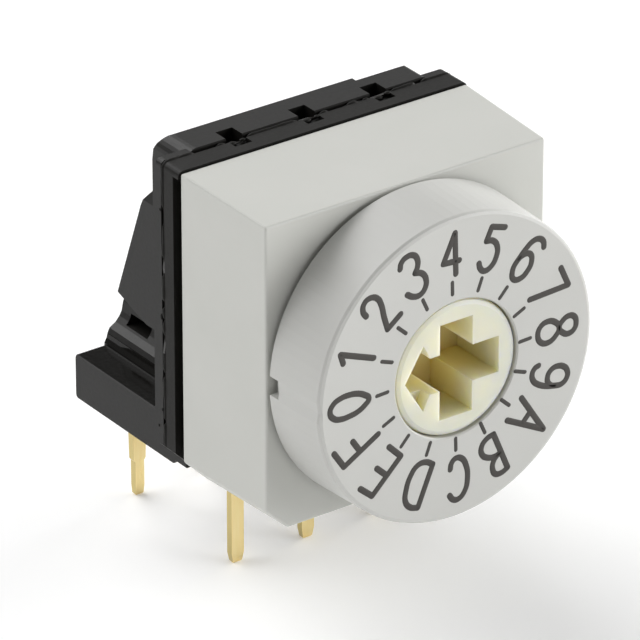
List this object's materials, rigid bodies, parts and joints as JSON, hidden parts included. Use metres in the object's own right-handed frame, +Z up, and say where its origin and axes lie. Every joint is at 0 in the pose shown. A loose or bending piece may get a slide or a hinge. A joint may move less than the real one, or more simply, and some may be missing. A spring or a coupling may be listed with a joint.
{
  "type": "rotary dip switch",
  "caption": "Upright rotary DIP switch: square light grey housing, round dial knob with a slotted cream rotor, black base and foot bracket, gold-plated pins.",
  "frame": {"origin": "on the board's surface, in the middle of the pin pattern, on the underside of the foot", "axes": "+X to the right as seen from the knob, +Y away from the knob, +Z up from the board"},
  "size_m": [0.0102, 0.0131, 0.0139],
  "materials": {
    "housing_plastic": "fine matt moulded thermoplastic",
    "knob_plastic": "fine matt moulded thermoplastic, printed with dark figures",
    "rotor_plastic": "smooth moulded polyamide",
    "base_plastic": "matt glass-filled plastic",
    "bracket_plastic": "matt glass-filled plastic",
    "seal_rubber": "matt rubber",
    "washer_plastic": "smooth low-friction plastic",
    "sealing_resin": "cured epoxy",
    "spring_steel": "bright rolled strip",
    "gold_plating": "thin gold plating on copper alloy"
  },
  "bodies": {
    "switch_body": {"housing": "housing_plastic", "shaft_seal": "seal_rubber", "thrust_washer": "washer_plastic", "detent_spring_upper": "spring_steel", "detent_spring_lower": "spring_steel", "contact_base": "base_plastic", "base_seal": "seal_rubber", "joint_resin": "sealing_resin", "terminal_bracket": "bracket_plastic", "terminal_front_left": "gold_plating", "terminal_front_middle": "gold_plating", "terminal_front_right": "gold_plating", "terminal_rear_left": "gold_plating", "terminal_rear_middle": "gold_plating", "terminal_rear_right": "gold_plating"},
    "dial": {"knob": "knob_plastic", "rotor": "rotor_plastic", "code_disc": "gold_plating"}
  },
  "joints": [
    {"name": "dial_turn", "type": "hinge", "parent": "switch_body", "child": "dial", "pos_m": [0, -0.00746, 0.00524], "axis": [0, -1, 0], "continuous": true, "deforming": ["detent_spring_upper", "detent_spring_lower"]}
  ]
}
